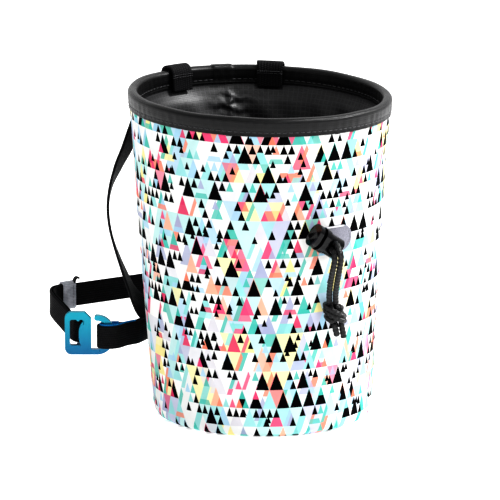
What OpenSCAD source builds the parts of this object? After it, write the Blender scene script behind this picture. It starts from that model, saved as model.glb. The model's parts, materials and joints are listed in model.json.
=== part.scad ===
// Climbing chalk bag: a stiff-rimmed round bag with a printed fabric shell, a gathered
// closure skirt worked by a drawcord and cord lock, and a webbing belt with a hook buckle.
// Millimetres, +Z up. The origin is the centre of the bag's underside. -Y is the front.

/* [Bag] */
// Height of the bag from its base to the top of the rim
bag_h = 164; // [158:1:168]
// Outer radius that the shell's straight side would have at the base
base_r = 55; // [54:0.5:56]
// Outer radius of the shell at the top of the rim
mouth_r = 65.2; // [65:0.1:65.4]
// Radius of the turned lower edge of the shell
base_round = 5; // [4:0.5:6]
// Thickness of the printed shell fabric with its backing
shell_t = 1.0; // [0.8:0.1:1.2]
// Thickness of the fleece liner
liner_t = 1.4; // [1.2:0.1:1.4]

/* [Rim] */
// Height of the bound band round the rim
band_h = 9; // [8:0.5:10]
// Thickness of the band's fabric
band_t = 0.8; // [0.6:0.1:0.8]
// Radius of the stiff hoop inside the rim
hoop_r = 1.3; // [1:0.1:1.4]

/* [Closure] */
// Height of the drawcord eyelet above the base
eyelet_z = 100.4; // [95:0.5:105]
// Angle of the eyelet round the bag from the front, towards the right
eyelet_turn = 29.3; // [25:0.5:35]
// Thickness of the closure skirt's fabric
skirt_t = 0.6; // [0.4:0.1:0.6]
// Diameter of the drawcord
cord_d = 3; // [2.5:0.1:3]

/* [Cord lock] */
// Height of the oval lock body across its long way
lock_h = 12.4; // [12:0.2:12.6]
// Thickness of the oval lock body
lock_w = 9.6; // [9.2:0.2:9.6]
// How far the button travels
button_travel = 1.5; // [1.2:0.1:1.5]

/* [Belt] */
// Width of the belt's webbing
belt_w = 12; // [11:0.5:12]
// Thickness of the belt's webbing
belt_t = 1.3; // [1.1:0.1:1.3]
// Width of the webbing loops that hold the belt on the rim
loop_w = 14; // [12:0.5:15]
// Angle of the left belt loop round the bag from the back, towards the left
loop_left_turn = 41.6; // [38:1:44]
// Angle of the right belt loop round the bag from the back, towards the left
loop_right_turn = -4.8; // [-8:1:0]

/* [Buckle] */
// Thickness of the hook buckle's plate
buckle_t = 3; // [2.6:0.1:3]
// Radius of the buckle's pin
pin_r = 1.2; // [1:0.1:1.2]

/* [Hidden] */

$fn = 96;
gap = 0.2;                                   // air between layers that are sewn together
taper = (mouth_r - base_r) / bag_h;          // how much the radius grows per millimetre up
taper_angle = atan(taper);
liner_gap = shell_t + gap;                   // shell's outside to the liner's outside
skirt_gap = liner_gap + liner_t + gap;       // shell's outside to the skirt's outside
band_gap = skirt_gap + skirt_t + gap;        // shell's outside to the band's inner leg
layers_top = bag_h - 5;                      // where the sewn layers end inside the band
cord_r = cord_d / 2;
base_panel_t = 1.4;
eyelet_hole = 3.7;                           // hole through the fabrics for the eyelet's barrel
eyelet_barrel = 3.6;                         // outside of the barrel
eyelet_bore = 3.2;                           // inside of the barrel, room for two cords
eyelet_flange = 4.8;

// Outer radius of the shell's straight side at height z
function side_r(z) = base_r + taper * z;
// Points along an arc
function arc(cx, cy, r, a0, a1, n) = [for (i = [0:n]) let (a = a0 + (a1 - a0) * i / n) [cx + r * cos(a), cy + r * sin(a)]];
function unit(v) = v / norm(v);
// Normal of a flat path at point i
function path_normal(p, i) = let (
    a = p[max(i - 1, 0)],
    b = p[min(i + 1, len(p) - 1)],
    t = unit([b[0] - a[0], b[1] - a[1]])
) [-t[1], t[0]];
// Closed outline of a strap seen edge on, from its middle line and thickness
function strap_outline(p, t) = concat(
    [for (i = [0:len(p) - 1]) [p[i][0], p[i][1]] + path_normal(p, i) * t / 2],
    [for (i = [len(p) - 1:-1:0]) [p[i][0], p[i][1]] - path_normal(p, i) * t / 2]
);
// Smooth curve through hand-set points, each with any number of values
function curve_at(p, i, u) = let (
    a = p[max(i - 1, 0)], b = p[i], c = p[i + 1], d = p[min(i + 2, len(p) - 1)]
) 0.5 * (2 * b + (c - a) * u + (2 * a - 5 * b + 4 * c - d) * u * u + (3 * b - a - 3 * c + d) * u * u * u);
function smooth(p, steps) = concat(
    [for (i = [0:len(p) - 2]) for (s = [0:steps - 1]) curve_at(p, i, s / steps)],
    [p[len(p) - 1]]
);
function point(v) = [v[0], v[1], v[2]];
function tangent(p, i) = unit(point(p[min(i + 1, len(p) - 1)]) - point(p[max(i - 1, 0)]));

// Webbing along a route in space: each route point is [x, y, z, wx, wy, wz],
// where w is the way that the webbing's width lies
module webbing(route, steps, width, thick) {
    p = smooth(route, steps);
    n = len(p);
    corners = [for (i = [0:n - 1]) let (
        t = tangent(p, i),
        w0 = [p[i][3], p[i][4], p[i][5]],
        w = unit(w0 - (w0 * t) * t),
        m = cross(t, w)
    ) each [
        point(p[i]) + w * width / 2 + m * thick / 2,
        point(p[i]) - w * width / 2 + m * thick / 2,
        point(p[i]) - w * width / 2 - m * thick / 2,
        point(p[i]) + w * width / 2 - m * thick / 2
    ]];
    sides = [for (i = [0:n - 2]) for (k = [0:3]) let (
        a = 4 * i + k, b = 4 * i + (k + 1) % 4, c = b + 4, d = a + 4
    ) each [[a, b, c], [a, c, d]]];
    e = 4 * (n - 1);
    polyhedron(corners, concat(sides, [[0, 2, 1], [0, 3, 2], [e, e + 1, e + 2], [e, e + 2, e + 3]]));
}

// Round cord along a route in space, with eight sides
module cord(route, steps) {
    p = smooth(route, steps);
    n = len(p);
    sides = 8;
    rings = [for (i = [0:n - 1]) let (
        t = tangent(p, i),
        s = unit(cross(t, [0.3, 0.2, 1])),
        m = cross(t, s)
    ) each [for (k = [0:sides - 1]) point(p[i]) + cord_r * (cos(k * 45) * s + sin(k * 45) * m)]];
    walls = [for (i = [0:n - 2]) for (k = [0:sides - 1]) let (
        a = sides * i + k, b = sides * i + (k + 1) % sides
    ) each [[a, b + sides, b], [a, a + sides, b + sides]]];
    last = sides * (n - 1);
    polyhedron(rings, concat(walls, [[for (k = [0:sides - 1]) k]], [[for (k = [sides - 1:-1:0]) last + k]]));
}

// Puts its children on the shell's side: local Z outwards, local X to the right, local Y up
module on_wall(turn, z) {
    rotate([0, 0, turn]) translate([0, -side_r(z), z]) rotate([90 + taper_angle, 0, 0]) children();
}
module at_eyelet() { on_wall(eyelet_turn, eyelet_z) children(); }

// A layer between two offsets inwards from the shell's outside, from z0 to z1
module wall_layer(in0, in1, z0, z1) {
    rotate_extrude() polygon([
        [side_r(z0) - in1, z0], [side_r(z0) - in0, z0], [side_r(z1) - in0, z1], [side_r(z1) - in1, z1]
    ]);
}

// ---------------------------------------------------------------- bag
module outer_shell() {
    corner_x = side_r(base_round) - base_round;
    color("ivory") difference() {
        rotate_extrude() polygon(concat(
            [[corner_x, 0]],
            arc(corner_x, base_round, base_round, -80, 0, 8),
            [[side_r(layers_top), layers_top], [side_r(layers_top) - shell_t, layers_top]],
            arc(corner_x, base_round, base_round - shell_t, 0, -90, 8)
        ));
        at_eyelet() cylinder(h = 12, r = eyelet_hole, center = true);
    }
}
module base_panel() {
    color("black") cylinder(h = base_panel_t, r = side_r(base_round) - base_round - gap);
}

module liner() {
    floor_z = base_panel_t + gap;
    round_in = 6;
    corner_x = side_r(floor_z + round_in) - liner_gap - round_in;
    color("dimgray") difference() {
        rotate_extrude() polygon(concat(
            [[0, floor_z]],
            arc(corner_x, floor_z + round_in, round_in, -90, 0, 8),
            [[side_r(layers_top) - liner_gap, layers_top],
             [side_r(layers_top) - liner_gap - liner_t, layers_top]],
            arc(corner_x, floor_z + round_in, round_in - liner_t, 0, -90, 8),
            [[0, floor_z + liner_t]]
        ));
        at_eyelet() cylinder(h = 14, r = eyelet_hole, center = true);
    }
}

// Band folded over the rim: two legs and a rounded top, open downwards
module rim_band() {
    z0 = bag_h - band_h;
    round_top = 2.2;
    top_z = bag_h - round_top;
    out_x = side_r(top_z) + gap + band_t;
    in_x = side_r(top_z) - band_gap - band_t;
    color("#2a2a2c") rotate_extrude() polygon(concat(
        [[side_r(z0) + gap, z0], [side_r(z0) + gap + band_t, z0]],
        arc(out_x - round_top, top_z, round_top, 0, 90, 6),
        arc(in_x + round_top, top_z, round_top, 90, 180, 6),
        [[side_r(z0) - band_gap - band_t, z0], [side_r(z0) - band_gap, z0]],
        arc(in_x + round_top, top_z, round_top - band_t, 180, 90, 6),
        arc(out_x - round_top, top_z, round_top - band_t, 90, 0, 6)
    ));
}

module rim_hoop() {
    z = bag_h - 2.9;
    color("white") rotate_extrude() translate([side_r(z) - (band_gap - gap) / 2, z]) circle(r = hoop_r);
}

// ---------------------------------------------------------------- closure
hem_x = 53.6;          // radius of the drawcord's ring inside the hem
hem_r = 2.3;
hem_bore = 1.7;
skirt_line = [[58.2, 145], [56.6, 136], [55.2, 122], [54.2, 110], [hem_x, eyelet_z + hem_r - 0.3]];

module closure_skirt() {
    top = [[side_r(layers_top) - skirt_gap - skirt_t / 2, layers_top],
           [side_r(154) - skirt_gap - skirt_t / 2, 154], [60.1, 150]];
    color("#3a3a3e") difference() {
        union() {
            rotate_extrude() polygon(strap_outline(concat(top, skirt_line), skirt_t));
            rotate_extrude() translate([hem_x, eyelet_z]) difference() {
                circle(r = hem_r);
                circle(r = hem_bore);
            }
        }
        // buttonhole that lets the cord out of the hem
        rotate([0, 0, eyelet_turn]) translate([0, -hem_x - 1, eyelet_z])
            rotate([90, 0, 0]) cylinder(h = hem_r, r = cord_r);
    }
}

module drawcord_loop() {
    color("black") rotate_extrude() translate([hem_x, eyelet_z]) circle(r = cord_r);
}

flange_t = 0.5;
flange_z = 1.5;        // underside of the flange above the shell's side, on the patch
washer_z = -3.0;       // face of the washer against the liner
module eyelet() {
    color("#1c1c1e") at_eyelet() difference() {
        union() {
            translate([0, 0, flange_z]) cylinder(h = flange_t, r = eyelet_flange);
            translate([0, 0, washer_z + 0.05]) cylinder(h = flange_z + flange_t - washer_z - 0.1, r = eyelet_barrel);
        }
        cylinder(h = 14, r = eyelet_bore, center = true);
    }
}

module eyelet_washer() {
    color("#1c1c1e") at_eyelet() difference() {
        translate([0, 0, washer_z - flange_t]) cylinder(h = flange_t, r = eyelet_flange);
        cylinder(h = 14, r = eyelet_bore, center = true);
    }
}

// Patch with round ends, one of them under the lock
module eyelet_patch() {
    patch_h = 13.5;
    patch_left = -5.6;
    patch_right = 17.7;
    patch_r = patch_h / 2;
    color("#b9b7c2") difference() {
        intersection() {
            wall_layer(-1.3, -0.15, eyelet_z - patch_h, eyelet_z + patch_h);
            at_eyelet() translate([0, 0, -14]) linear_extrude(24) union() {
                translate([patch_left + patch_r, 0]) circle(r = patch_r);
                translate([patch_right - patch_r, 0]) circle(r = patch_r);
                translate([patch_left + patch_r, -patch_r]) square([patch_right - patch_left - patch_h, patch_h]);
            }
        }
        at_eyelet() cylinder(h = 14, r = eyelet_hole, center = true);
    }
}

// ---------------------------------------------------------------- cord and cord lock
// The two strands leave the eyelet one above the other, pass through the lock,
// fall over its edge and hang side by side to the knot.
strand_left_route = [
    [27.2, -50.3, 99.3], [30.1, -55.5, 99.0], [32.6, -59.9, 98.6], [35.2, -64.6, 98.2],
    [36.2, -66.8, 96.6], [36.2, -67.6, 93.2], [35.2, -66.0, 87.3], [34.3, -62.3, 81.0],
    [33.8, -58.5, 74.0], [34.0, -55.8, 68.8]
];
strand_right_route = [
    [28.8, -49.6, 102.0], [31.8, -54.8, 101.6], [34.2, -59.1, 101.3], [36.8, -63.8, 100.9],
    [38.2, -66.4, 99.2], [39.3, -67.6, 95.2], [38.5, -66.2, 88.3], [37.5, -62.3, 81.0],
    [36.9, -58.3, 74.0], [37.1, -55.7, 68.8]
];
tail_left_route = [[36.2, -54.4, 58.9], [36.9, -54.2, 56.0], [37.9, -53.8, 51.8]];
tail_right_route = [[39.4, -53.6, 59.3], [40.2, -53.2, 56.2], [41.2, -52.6, 50.6]];

module cord_strand_left() { color("black") cord(strand_left_route, 2); }
module cord_strand_right() { color("black") cord(strand_right_route, 2); }
module cord_tail_left() { color("black") cord(tail_left_route, 2); }
module cord_tail_right() { color("black") cord(tail_right_route, 2); }

// Overhand knot tied in both strands, as its outer shape
module cord_knot() {
    color("black") translate([36.5, -54.8, 63.9]) rotate([0, 90, 12]) union() {
        rotate_extrude() translate([2.6, 0]) circle(r = 2.2);
        cylinder(h = 11.2, r = 3.1, center = true);
    }
}

lock_off = 7.1;        // middle of the cord hole above the shell's side
lock_lean = 146;       // way that the lock's long axis points, from local X
lock_back = 6;         // from the cord hole to the body's closed end
lock_front = 6.2;      // from the cord hole to the body's open end
collar_len = 3;        // the body is full size round its open end
waist = 1.6;           // how much slimmer the body is behind the collar
lock_wall = 1;
head_t = 2.6;          // thickness of the button's head
slot_half = 1.7;       // half width of the hole for the cords
slot_len = 3.4;        // half length of that hole
bridge_front = -1.7;   // face of the stem's bridge that holds the cords
bridge_back = -2.7;

// Local X along the lock towards its button, local Z along the cord hole
module at_lock() {
    at_eyelet() translate([0, 0, lock_off]) rotate([0, 0, lock_lean]) children();
}
// Oval bar along local X from x0 to x1
module oval_bar(x0, x1, tall, thick) {
    r = thick / 2;
    translate([x0, 0, 0]) rotate([90, 0, 90]) linear_extrude(x1 - x0) union() {
        translate([tall / 2 - r, 0]) circle(r = r);
        translate([r - tall / 2, 0]) circle(r = r);
        square([tall - thick, thick], center = true);
    }
}
module cord_slot(half_w, half_l, h) {
    linear_extrude(h, center = true) union() {
        translate([0, half_l - half_w]) circle(r = half_w);
        translate([0, half_w - half_l]) circle(r = half_w);
        square([2 * half_w, 2 * (half_l - half_w)], center = true);
    }
}

module cord_lock_body() {
    color("#101012") at_lock() difference() {
        union() {
            oval_bar(lock_front - collar_len, lock_front, lock_h, lock_w);
            oval_bar(-lock_back, lock_front - 1, lock_h - waist, lock_w - waist);
        }
        oval_bar(lock_wall - lock_back, lock_front + 1, lock_h - waist - 2 * lock_wall, lock_w - waist - 2 * lock_wall);
        cord_slot(slot_half, slot_len, 2 * lock_w);
    }
}

module cord_lock_button() {
    head_x = lock_front + button_travel + 0.2;
    color("#1b1b1e") at_lock() difference() {
        union() {
            oval_bar(head_x, head_x + head_t, lock_h - 0.6, lock_w - 0.6);
            oval_bar(bridge_back, head_x + 0.5, lock_h - waist - 2.6, lock_w - waist - 2.6);
        }
        // hole for the cords, long enough to clear them over the whole press
        translate([bridge_front, -slot_len, -lock_w])
            cube([slot_half + button_travel - bridge_front, 2 * slot_len, 2 * lock_w]);
    }
}

module cord_lock_spring() {
    spring_front = bridge_back - 0.1;
    spring_back = lock_wall - lock_back + 0.1;
    color("silver") at_lock() translate([spring_back, 0, 0]) rotate([0, 90, 0]) difference() {
        cylinder(h = spring_front - spring_back, r = 2.4);
        translate([0, 0, -1]) cylinder(h = 10, r = 1.8);
    }
}

// ---------------------------------------------------------------- belt loops and belt
loop_t = 1.3;
// Middle line of a belt loop in a cut through the rim: inside, over the top and down the back
loop_line = [
    [59.0, 153.6], [59.4, 158], [59.7, 162], [60.9, 164.5], [63.0, 165.2],
    [65.2, 164.8], [66.8, 163.0], [67.5, 158], [67.9, 151], [68.0, 143],
    [68.0, 137], [66.6, 132.6], [64.6, 129.5], [63.6, 125]
];
module belt_loop(turn) {
    span = loop_w / mouth_r * 180 / PI;
    rotate([0, 0, 90 + turn - span / 2]) rotate_extrude(angle = span) polygon(strap_outline(loop_line, loop_t));
}
module belt_loop_left() { color("#262628") belt_loop(loop_left_turn); }
module belt_loop_right() { color("#262628") belt_loop(loop_right_turn); }

rear_r = 66.1;         // middle of the belt where it lies on the bag's back
rear_z = 145;
rear_start = 66;       // from the +X axis, anticlockwise from above
rear_end = 150;
module belt_rear_run() {
    color("#262628") rotate([0, 0, rear_start]) rotate_extrude(angle = rear_end - rear_start)
        translate([rear_r - belt_t / 2, rear_z - belt_w / 2]) square([belt_t, belt_w]);
}

// Left part: down in a bow beside the bag, behind it, and back to the end loop
left_bow_route = [
    [-57.6, 32.4, 145, 0, 0, 1], [-60, 28.8, 144.3, -0.14, -0.3, 0.94], [-61.8, 25.4, 142, -0.27, -0.58, 0.77],
    [-63.6, 22.7, 138, -0.36, -0.78, 0.5], [-66.8, 20.2, 130, -0.4, -0.9, 0.3], [-71, 17.4, 121.6, -0.3, -1, 0.25],
    [-74.6, 14, 112.6, -0.1, -1, 0.1], [-76.2, 12, 103, 0, -1, 0], [-75.6, 11, 93, 0.05, -1, 0],
    [-73.4, 11, 83, 0.1, -1, -0.1], [-70.2, 12, 73, 0.1, -0.9, -0.3], [-66.8, 13.6, 63.5, 0.1, -0.75, -0.55],
    [-63.6, 16.4, 54.8, 0.1, -0.5, -0.8], [-59.8, 22, 47.4, 0, -0.3, -0.95],
    [-55.2, 31, 42, 0, -0.1, -1], [-47, 42.6, 38.8, 0, 0, -1], [-36, 52.3, 37.6, 0, 0, -1],
    [-26, 57.9, 37.5, 0, 0, -1], [-22.6, 58.3, 37.5, 0, 0, -1], [-22.2, 56, 37.5, 0, 0, -1],
    [-25.4, 53.6, 37.5, 0, 0, -1], [-34, 48.6, 37.5, 0, 0, -1], [-45, 38.7, 37.5, 0, 0, -1],
    [-53.2, 26.5, 37.5, 0, 0, -1], [-57.4, 16.8, 37.5, 0, 0, -1], [-60.6, 10.2, 37.5, 0, 0, -1]
];
module belt_left_bow() { color("#262628") webbing(left_bow_route, 3, belt_w, belt_t); }

// Right part: from the right loop down the back to the folded spare length
right_drop_route = [
    [27.5, 60.1, 145, 0, 0, 1], [31.8, 58.2, 144.3, 0.3, -0.17, 0.94], [35.6, 56.1, 141.8, 0.56, -0.32, 0.77],
    [38.5, 54.2, 137.6, 0.75, -0.43, 0.5], [40, 53.1, 132.5, 0.84, -0.5, 0.2], [40.3, 52.9, 125, 0.87, -0.5, 0],
    [40.2, 54.2, 115, 0.88, -0.48, 0], [41, 57, 103, 0.9, -0.44, 0], [42.4, 60.5, 92, 0.94, -0.35, 0],
    [44.2, 64.4, 81, 0.97, -0.24, 0], [45.8, 67.8, 71, 1, -0.1, 0], [46.2, 70, 62.5, 1, 0, 0],
    [44.8, 70.7, 56.8, 0.87, 0, -0.5], [41.2, 70.7, 52.6, 0.5, 0, -0.87], [36.4, 70.6, 51, 0, 0, -1]
];
module belt_right_drop() { color("#262628") webbing(right_drop_route, 3, belt_w, belt_t); }

// Spare length of the belt, folded flat behind the bag
hank_runs = 5;
hank_half = 34;
hank_pitch = 1.9;
hank_y = 63;           // middle of the run next to the bag
hank_z = 51;
hank_side = [for (i = [0:hank_runs - 1]) i % 2 == 0 ? 1 : -1];
// Runs from the bag outwards; the last one ends on the right
hank_line = [for (i = [0:hank_runs - 1]) let (y = hank_y + hank_pitch * i, s = hank_side[i]) each concat(
    [[-s * hank_half, y], [s * hank_half, y]],
    i < hank_runs - 1
        ? [for (a = [-60:30:60]) [s * (hank_half + 0.95 * hank_pitch / 2 * cos(a)), y + hank_pitch / 2 + hank_pitch / 2 * sin(a)]]
        : []
)];
module belt_hank() {
    color("#262628") translate([0, 0, hank_z - belt_w / 2]) linear_extrude(belt_w)
        polygon(strap_outline(hank_line, belt_t));
}
module belt_hank_tie() {
    tie_w = 8;
    tie_t = 1;
    in_y = hank_pitch * (hank_runs - 1) + belt_t + 0.6;
    in_z = belt_w + 0.6;
    color("black") translate([-tie_w / 2, hank_y - belt_t / 2 - 0.3, hank_z - in_z / 2]) difference() {
        translate([0, -tie_t, -tie_t]) cube([tie_w, in_y + 2 * tie_t, in_z + 2 * tie_t]);
        translate([-1, 0, 0]) cube([tie_w + 2, in_y, in_z]);
    }
}

// Buckle end: from the hank past the bag's left, through the keeper, round to the buckle's
// pin, and back along itself into the keeper
buckle_strap_route = [
    [-34.6, 63, 51, 0, 0, 1], [-42, 61.6, 51, 0, 0, 1], [-50, 58.3, 51, 0, 0, 1], [-58, 54, 51, 0, 0, 1],
    [-69, 47.5, 51, 0, 0, 1], [-80, 41, 51, 0, 0, 1], [-91, 34.5, 51, 0, 0, 1], [-98, 30.3, 51, 0, 0, 1],
    [-101, 28.5, 50.9, 0, 0, 1], [-103.2, 26.3, 50.5, 0, 0, 1], [-103.9, 23.3, 49.8, 0, 0, 1],
    [-103.2, 20.3, 48.6, 0, 0, 1], [-101.2, 17.3, 46.6, 0, 0, 1], [-98, 13.9, 43.6, 0, 0, 1],
    [-94.8, 10.9, 40.8, 0, 0, 1], [-92.2, 9.3, 39.5, 0, 0, 1], [-89.8, 8.95, 39.4, 0, 0, 1],
    [-88.2, 8.3, 39.4, 0, 0, 1], [-87.55, 6.7, 39.4, 0, 0, 1], [-88.2, 5.1, 39.4, 0, 0, 1],
    [-89.8, 4.45, 39.4, 0, 0, 1], [-92.6, 5, 39.5, 0, 0, 1], [-95.2, 7.6, 40.8, 0, 0, 1],
    [-99.2, 12.4, 44.2, 0, 0, 1], [-102.8, 16.6, 47.2, 0, 0, 1], [-104.9, 19.9, 49.0, 0, 0, 1],
    [-105.7, 23.4, 50.2, 0, 0, 1], [-104.8, 27.1, 50.8, 0, 0, 1], [-101.9, 30, 51, 0, 0, 1],
    [-98.9, 31.8, 51, 0, 0, 1], [-93.9, 34.8, 51, 0, 0, 1]
];
module belt_buckle_strap() { color("#262628") webbing(buckle_strap_route, 3, belt_w, belt_t); }

// Straight stretch of the buckle strap that the keeper rides on
keeper_from = [-91, 34.5];
keeper_to = [-58, 54];
keeper_dir = atan2(keeper_to[1] - keeper_from[1], keeper_to[0] - keeper_from[0]);
keeper_len = 7.3;
keeper_back = 10.7;    // from keeper_from back to the keeper's far end
// Local X towards the bag, local Y outwards through the strap
module at_keeper() {
    translate([keeper_from[0], keeper_from[1], hank_z]) rotate([0, 0, keeper_dir])
        translate([-keeper_back, 0, 0]) children();
}
module belt_keeper() {
    keeper_t = 0.8;
    in0 = -0.95;       // inside faces either side of the two layers
    in1 = 2.75;
    in_h = belt_w + 0.6;
    color("#a9abb4") at_keeper() difference() {
        translate([0, in0 - keeper_t, -in_h / 2 - keeper_t])
            cube([keeper_len, in1 - in0 + 2 * keeper_t, in_h + 2 * keeper_t]);
        translate([-1, in0, -in_h / 2]) cube([keeper_len + 2, in1 - in0, in_h]);
    }
}

// ---------------------------------------------------------------- end loop and buckle
end_loop_z = 37.5;
end_loop_w = 11.8;
// From the seam round the buckle's hook and back to the seam
end_loop_line = [
    [-61.9, 8.6], [-65.0, 6.3], [-67.6, 3.9], [-69.4, 1.4], [-71.6, -0.8], [-74.4, -2.0], [-77.4, -2.2],
    [-79.8, -1.3], [-81.1, 0.4], [-81.3, 2.4], [-80.4, 4.6], [-78, 6.2], [-74.4, 6.8], [-71, 6.9],
    [-68.6, 7.1], [-66.3, 8.0], [-63.1, 10.3]
];
lining_t = 0.4;
lining_in = 1;         // from the webbing's middle line in to the lining's
lining_last = 13;      // point of the webbing's line where the lining ends
lining_line = [for (i = [0:lining_last]) [end_loop_line[i][0], end_loop_line[i][1]]
    - path_normal(end_loop_line, i) * lining_in];
module belt_end_loop() {
    color("#262628") translate([0, 0, end_loop_z - end_loop_w / 2]) linear_extrude(end_loop_w)
        polygon(strap_outline(end_loop_line, belt_t));
}
module end_loop_lining() {
    lining_w = end_loop_w + 0.7;
    color("#2a8fd0") translate([0, 0, end_loop_z - end_loop_w / 2]) linear_extrude(lining_w)
        polygon(strap_outline(lining_line, lining_t));
}

// Places of the buckle's plate, seen from the front
plate_left = -98;
plate_right = -84.75;
plate_low = 28;
plate_high = 50;
plate_y = 0.5;         // front face of the plate
slot_x = [-95.5, -88.5];
slot_z = [32.8, 46.1];
pin_x = -89.8;
pin_y = 6.7;
hook_right = -73;
hook_top = 48.3;
hook_bar = 2.75;
hook_round = 9;
tip_x = -81.8;

module rounded_rect(x0, z0, x1, z1, r) {
    union() {
        for (x = [x0 + r, x1 - r]) for (z = [z0 + r, z1 - r]) translate([x, z]) circle(r = r);
        translate([x0 + r, z0]) square([x1 - x0 - 2 * r, z1 - z0]);
        translate([x0, z0 + r]) square([x1 - x0, z1 - z0 - 2 * r]);
    }
}
// Right-hand half of the hook's bend, grown inwards by d
module hook_field(d) {
    r = hook_round - d;
    cx = hook_right - hook_round;
    x0 = plate_right - 3;
    union() {
        for (z = [plate_low + hook_round, hook_top - hook_round]) translate([cx, z]) circle(r = r);
        translate([cx, plate_low + hook_round]) square([r, hook_top - plate_low - 2 * hook_round]);
        translate([x0, plate_low + d]) square([cx - x0, hook_top - plate_low - 2 * d]);
    }
}
module hook_outline() {
    difference() {
        hook_field(0);
        hook_field(hook_bar);
        translate([plate_right - 4, hook_top - 5]) square([tip_x - plate_right + 4, 6]);
    }
    translate([tip_x, hook_top - hook_bar / 2]) circle(d = hook_bar);
}
module frame_outline() {
    difference() {
        rounded_rect(plate_left, plate_low, plate_right, plate_high, 3.4);
        rounded_rect(slot_x[0], slot_z[0], slot_x[1], slot_z[1], 1.2);
        // cut corner beside the hook's tip
        translate([plate_right + 0.2, plate_high + 0.2]) rotate([0, 0, 45]) square([5.2, 5.2], center = true);
    }
    // small tooth at the top of the slot
    translate([(slot_x[0] + slot_x[1]) / 2 + 0.7, slot_z[1]]) circle(r = 0.8);
}
module hook_buckle() {
    lug = 2.3;         // radius and thickness of each lug
    color("#12aee0") difference() {
        union() {
            translate([0, plate_y + buckle_t, 0]) rotate([90, 0, 0]) linear_extrude(buckle_t) {
                frame_outline();
                hook_outline();
            }
            // two lugs behind the plate carry the pin
            for (z = [slot_z[0] - lug - 0.1, slot_z[1] + 0.1]) translate([0, 0, z]) linear_extrude(lug) {
                translate([pin_x, pin_y]) circle(r = lug);
                translate([pin_x - lug, plate_y + buckle_t - 0.5]) square([2 * lug, pin_y - plate_y - buckle_t + 0.5]);
            }
        }
        translate([pin_x, pin_y, 20]) cylinder(h = 40, r = pin_r + 0.02);
    }
}
module buckle_pin() {
    color("silver") translate([pin_x, pin_y, slot_z[0] - 2.6]) cylinder(h = slot_z[1] - slot_z[0] + 5.2, r = pin_r);
}

outer_shell();
base_panel();
liner();
rim_band();
rim_hoop();
closure_skirt();
drawcord_loop();
eyelet();
eyelet_washer();
eyelet_patch();
cord_strand_left();
cord_strand_right();
cord_knot();
cord_tail_left();
cord_tail_right();
cord_lock_body();
cord_lock_button();
cord_lock_spring();
belt_loop_left();
belt_loop_right();
belt_rear_run();
belt_left_bow();
belt_right_drop();
belt_hank();
belt_hank_tie();
belt_buckle_strap();
belt_keeper();
belt_end_loop();
end_loop_lining();
hook_buckle();
buckle_pin();
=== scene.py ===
"""Looks of a climbing chalk bag, built round its CAD frame.

The bag stands on the floor with its origin under the middle of its base; -Y is its front.
Shapes are worked out in millimetres and made in metres, and every soft CAD solid is
replaced by a detailed piece that rides on the same body.
"""

import json
import math

import bpy
import numpy as np
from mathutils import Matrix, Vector


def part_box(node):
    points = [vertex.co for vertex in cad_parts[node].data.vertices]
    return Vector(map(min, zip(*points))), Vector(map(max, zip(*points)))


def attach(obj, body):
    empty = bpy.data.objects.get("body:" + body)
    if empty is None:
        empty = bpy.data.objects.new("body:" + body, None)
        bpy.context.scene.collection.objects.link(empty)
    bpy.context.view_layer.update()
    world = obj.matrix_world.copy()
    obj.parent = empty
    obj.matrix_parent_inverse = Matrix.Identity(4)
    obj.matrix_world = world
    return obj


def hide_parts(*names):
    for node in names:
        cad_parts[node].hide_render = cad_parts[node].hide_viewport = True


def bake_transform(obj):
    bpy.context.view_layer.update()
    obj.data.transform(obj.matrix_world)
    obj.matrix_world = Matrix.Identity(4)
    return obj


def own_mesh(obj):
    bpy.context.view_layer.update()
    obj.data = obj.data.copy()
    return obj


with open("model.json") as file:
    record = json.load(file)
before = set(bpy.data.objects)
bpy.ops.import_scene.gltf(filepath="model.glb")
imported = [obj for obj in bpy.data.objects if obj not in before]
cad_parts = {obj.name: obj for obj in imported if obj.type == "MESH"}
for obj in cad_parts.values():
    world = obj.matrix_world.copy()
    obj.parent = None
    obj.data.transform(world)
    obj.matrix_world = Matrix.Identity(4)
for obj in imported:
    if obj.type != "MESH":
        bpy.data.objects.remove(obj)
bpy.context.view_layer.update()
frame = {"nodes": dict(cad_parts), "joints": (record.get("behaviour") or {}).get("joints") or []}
MM = 0.001


def box_mm(node):
    """Lowest and highest corner of a CAD node in millimetres."""
    low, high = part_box(node)
    return np.array(low) / MM, np.array(high) / MM


def middle_mm(node):
    low, high = box_mm(node)
    return (low + high) / 2


def at_joint(name, key="axis"):
    """Axis or place of a joint, as the record gives it."""
    return np.array(next(j for j in frame["joints"] if j["name"] == name)[key], float)


# ---------- sizes, in millimetres
BAND_LOW, BAG_TOP = (corner[2] for corner in box_mm("rim_band"))
WALL_TOP = box_mm("outer_shell")[1][2]
BASE_R = 55.0
TAPER = (box_mm("outer_shell")[1][0] - BASE_R) / WALL_TOP
WALL_LEAN = math.atan(TAPER)
BASE_ROUND = 3.6
PANEL_R = box_mm("base_panel")[1][0]
LINER_IN = 2.6  # shell's outside to the liner's inside
HEM_R = 2.3
PATCH_LEFT, PATCH_RIGHT, PATCH_HALF = -5.6, 17.7, 6.6  # beside the eyelet, along the wall
EYELET = middle_mm("eyelet")
EYELET_TURN = math.atan2(EYELET[0], -EYELET[1])
CORD_R = 1.5
HEM_RING_R = box_mm("drawcord_loop")[1][0] - CORD_R  # middle of the cord in the skirt's hem
BELT_W, BELT_T = 12.0, 1.3
LOOP_W = 14.0
HANK_Z = middle_mm("belt_hank")[2]
END_Z = middle_mm("belt_end_loop")[2]
BAND_JOINT = math.radians(180 + 18)  # where the band's two ends meet, round from the front
GATHER = math.radians(180 + 15)  # seam where the skirt's cloth is closed
LEFT_LOOP, RIGHT_LOOP = math.radians(90 + 41.6), math.radians(90 - 4.8)  # from +X
RIM_TILT = 0.031  # how much the soft rim drops towards the right
BASE_SHIFT = 1.6  # how far the soft base stands to the right of the rim


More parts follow.
